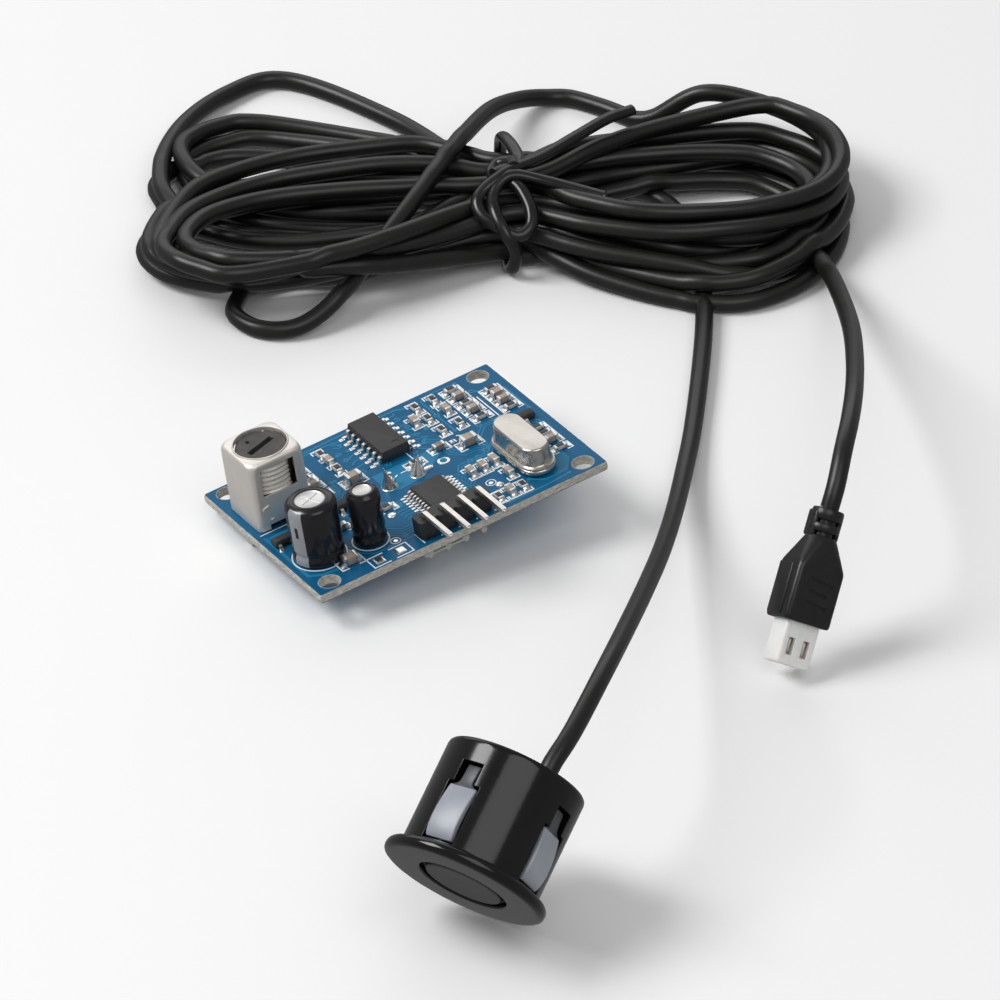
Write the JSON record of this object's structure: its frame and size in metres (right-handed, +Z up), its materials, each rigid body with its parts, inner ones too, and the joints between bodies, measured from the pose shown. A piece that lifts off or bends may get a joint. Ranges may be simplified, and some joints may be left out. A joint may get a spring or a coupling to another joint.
{
  "type": "ultrasonic distance sensor",
  "caption": "Waterproof ultrasonic distance sensor: potted round probe with spring clips, wound cord with plug, and blue driver board with tunable coil and angled header.",
  "frame": {"origin": "on the surface that everything lies on, under the middle of the box round the driver board and the probe", "axes": "+X to the right across the board and probe, +Y from the probe towards the board and the wound cord, +Z up"},
  "size_m": [0.0903, 0.1841, 0.0237],
  "materials": {
    "blue_solder_mask": "satin solder mask over glass-fibre laminate",
    "tinned_metal": "bright tin plate",
    "nickel_silver": "bright nickel, soft reflections",
    "aluminium": "drawn and lightly anodised",
    "grey_ferrite": "sintered, matte",
    "enamelled_copper": "clear enamel",
    "black_plastic": "moulded, satin",
    "gloss_black_shell": "polished moulding",
    "black_rubber": "moulded, matte",
    "cord_jacket": "satin extruded jacket",
    "frosted_nylon": "natural nylon, slightly translucent",
    "white_nylon": "moulded, satin",
    "tan_ceramic": "fired ceramic",
    "damping_felt": "pressed felt or wound foil and paper",
    "black_resin": "poured potting resin",
    "quartz": "lapped quartz blank"
  },
  "bodies": {
    "sensor": {"amplifier_chip": "black_plastic", "big_capacitor_bung": "black_rubber", "big_capacitor_can": "aluminium", "big_capacitor_lead_1": "tinned_metal", "big_capacitor_lead_2": "tinned_metal", "big_capacitor_roll": "damping_felt", "ceramic_capacitor_1": "tan_ceramic", "ceramic_capacitor_2": "tan_ceramic", "ceramic_capacitor_3": "tan_ceramic", "circuit_board": "blue_solder_mask", "coil_base": "black_plastic", "coil_drum": "grey_ferrite", "coil_pin_1": "tinned_metal", "coil_pin_2": "tinned_metal", "coil_pin_3": "tinned_metal", "coil_pin_4": "tinned_metal", "coil_pin_5": "tinned_metal", "coil_shield_can": "nickel_silver", "coil_winding": "enamelled_copper", "controller_chip": "black_plastic", "cord_hank": "cord_jacket", "cord_plug_end": "cord_jacket", "cord_probe_end": "cord_jacket", "cord_tie": "black_plastic", "crystal_base": "nickel_silver", "crystal_blank": "quartz", "crystal_cover": "nickel_silver", "crystal_lead_1": "tinned_metal", "crystal_lead_2": "tinned_metal", "damping_pad": "damping_felt", "decoupling_ring": "black_rubber", "header_block": "black_plastic", "header_pin_1": "tinned_metal", "header_pin_2": "tinned_metal", "header_pin_3": "tinned_metal", "header_pin_4": "tinned_metal", "piezo_disc": "tan_ceramic", "plug_contact_1": "tinned_metal", "plug_contact_2": "tinned_metal", "plug_housing": "white_nylon", "plug_overmould": "black_rubber", "potting_resin": "black_resin", "probe_housing": "gloss_black_shell", "probe_socket": "white_nylon", "small_capacitor_bung": "black_rubber", "small_capacitor_can": "aluminium", "small_capacitor_lead_1": "tinned_metal", "small_capacitor_lead_2": "tinned_metal", "small_capacitor_roll": "damping_felt", "socket_pin_1": "tinned_metal", "socket_pin_2": "tinned_metal", "transducer_can": "aluminium", "transistor_1": "black_plastic", "transistor_2": "black_plastic", "transistor_3": "black_plastic"},
    "core": {"tuning_core": "grey_ferrite"},
    "clip_1": {"retaining_clip_1": "frosted_nylon"},
    "clip_2": {"retaining_clip_2": "frosted_nylon"},
    "clip_3": {"retaining_clip_3": "frosted_nylon"},
    "clip_4": {"retaining_clip_4": "frosted_nylon"}
  },
  "joints": [
    {"name": "core_turn", "type": "hinge", "parent": "sensor", "child": "core", "pos_m": [-0.01749, 0.03117, 0.0133], "axis": [-0.1392, 0, 0.9903], "range_deg": [-360, 360]},
    {"name": "clip_1_flex", "type": "hinge", "parent": "sensor", "child": "clip_1", "pos_m": [0.01808, -0.04646, 0.01607], "axis": [0.4416, 0.3737, -0.8157], "range_deg": [0, 6], "stiffness_Nm_per_rad": 0.02},
    {"name": "clip_2_flex", "type": "hinge", "parent": "sensor", "child": "clip_2", "pos_m": [0.01543, -0.03918, 0.00872], "axis": [-0.7919, 0.5897, -0.1586], "range_deg": [0, 6], "stiffness_Nm_per_rad": 0.02},
    {"name": "clip_3_flex", "type": "hinge", "parent": "sensor", "child": "clip_3", "pos_m": [0.00612, -0.03755, 0.01368], "axis": [-0.4416, -0.3737, 0.8157], "range_deg": [0, 6], "stiffness_Nm_per_rad": 0.02},
    {"name": "clip_4_flex", "type": "hinge", "parent": "sensor", "child": "clip_4", "pos_m": [0.00877, -0.04483, 0.02104], "axis": [0.7919, -0.5897, 0.1586], "range_deg": [0, 6], "stiffness_Nm_per_rad": 0.02}
  ]
}
